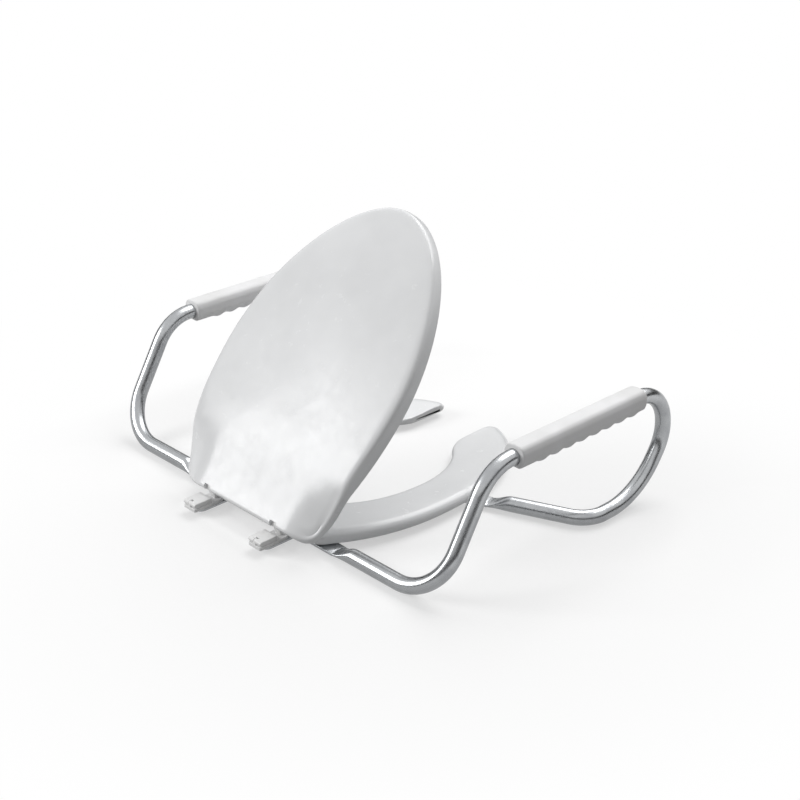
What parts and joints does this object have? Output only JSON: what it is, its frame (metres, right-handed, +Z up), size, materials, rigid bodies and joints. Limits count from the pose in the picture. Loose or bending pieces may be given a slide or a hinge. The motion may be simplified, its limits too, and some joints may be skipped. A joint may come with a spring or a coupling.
{
  "type": "toilet seat with support arms",
  "caption": "Open-front toilet seat and cover on hinges with flip-up bolt caps, flanked by bent steel tube arms with moulded finger grips that bolt on under the hinges.",
  "frame": {"origin": "middle of the footprint, on the plane that the tubes stand on", "axes": "+X to the sitter's right, +Y from the hinges to the open front of the seat, +Z up"},
  "size_m": [0.692, 0.546, 0.3848],
  "materials": {
    "arm_steel": "polished stainless tube",
    "pin_steel": "drawn stainless rod",
    "bolt_steel": "stainless bolt",
    "grip_plastic": "fine-grained moulded grip",
    "hinge_plastic": "moulded, satin",
    "seat_plastic": "moulded, glossy",
    "lid_plastic": "moulded, glossy",
    "bushing_nylon": "nylon",
    "bumper_rubber": "soft, pale"
  },
  "bodies": {
    "base": {"support_arm_right": "arm_steel", "support_arm_left": "arm_steel", "grip_right": "grip_plastic", "grip_left": "grip_plastic", "hinge_base_right": "hinge_plastic", "hinge_base_left": "hinge_plastic", "cap_pin_right": "pin_steel", "cap_pin_left": "pin_steel", "mounting_bolt_right": "bolt_steel", "mounting_bolt_left": "bolt_steel", "hinge_pin_right": "pin_steel", "hinge_pin_left": "pin_steel"},
    "ring": {"seat_ring": "seat_plastic", "ring_bushing_right": "bushing_nylon", "ring_bushing_left": "bushing_nylon", "rear_ring_bumper_right": "bumper_rubber", "rear_ring_bumper_left": "bumper_rubber", "front_ring_bumper_right": "bumper_rubber", "front_ring_bumper_left": "bumper_rubber"},
    "cover": {"lid": "lid_plastic", "lid_bumper_right": "bumper_rubber", "lid_bumper_left": "bumper_rubber", "friction_bushing_right": "bushing_nylon", "friction_bushing_left": "bushing_nylon"},
    "cap_right": {"bolt_cap_right": "hinge_plastic"},
    "cap_left": {"bolt_cap_left": "hinge_plastic"}
  },
  "joints": [
    {"name": "ring_hinge", "type": "hinge", "parent": "base", "child": "ring", "pos_m": [0, -0.22949, 0.0295], "axis": [1, 0, 0], "range_deg": [0, 48]},
    {"name": "lid_hinge", "type": "hinge", "parent": "ring", "child": "cover", "pos_m": [0, -0.22949, 0.0295], "axis": [1, 0, 0], "range_deg": [-50, 50]},
    {"name": "cap_hinge_right", "type": "hinge", "parent": "base", "child": "cap_right", "pos_m": [0.06985, -0.26914, 0.01815], "axis": [1, 0, 0], "range_deg": [0, 150]},
    {"name": "cap_hinge_left", "type": "hinge", "parent": "base", "child": "cap_left", "pos_m": [-0.06985, -0.26914, 0.01815], "axis": [1, 0, 0], "range_deg": [0, 150]}
  ]
}
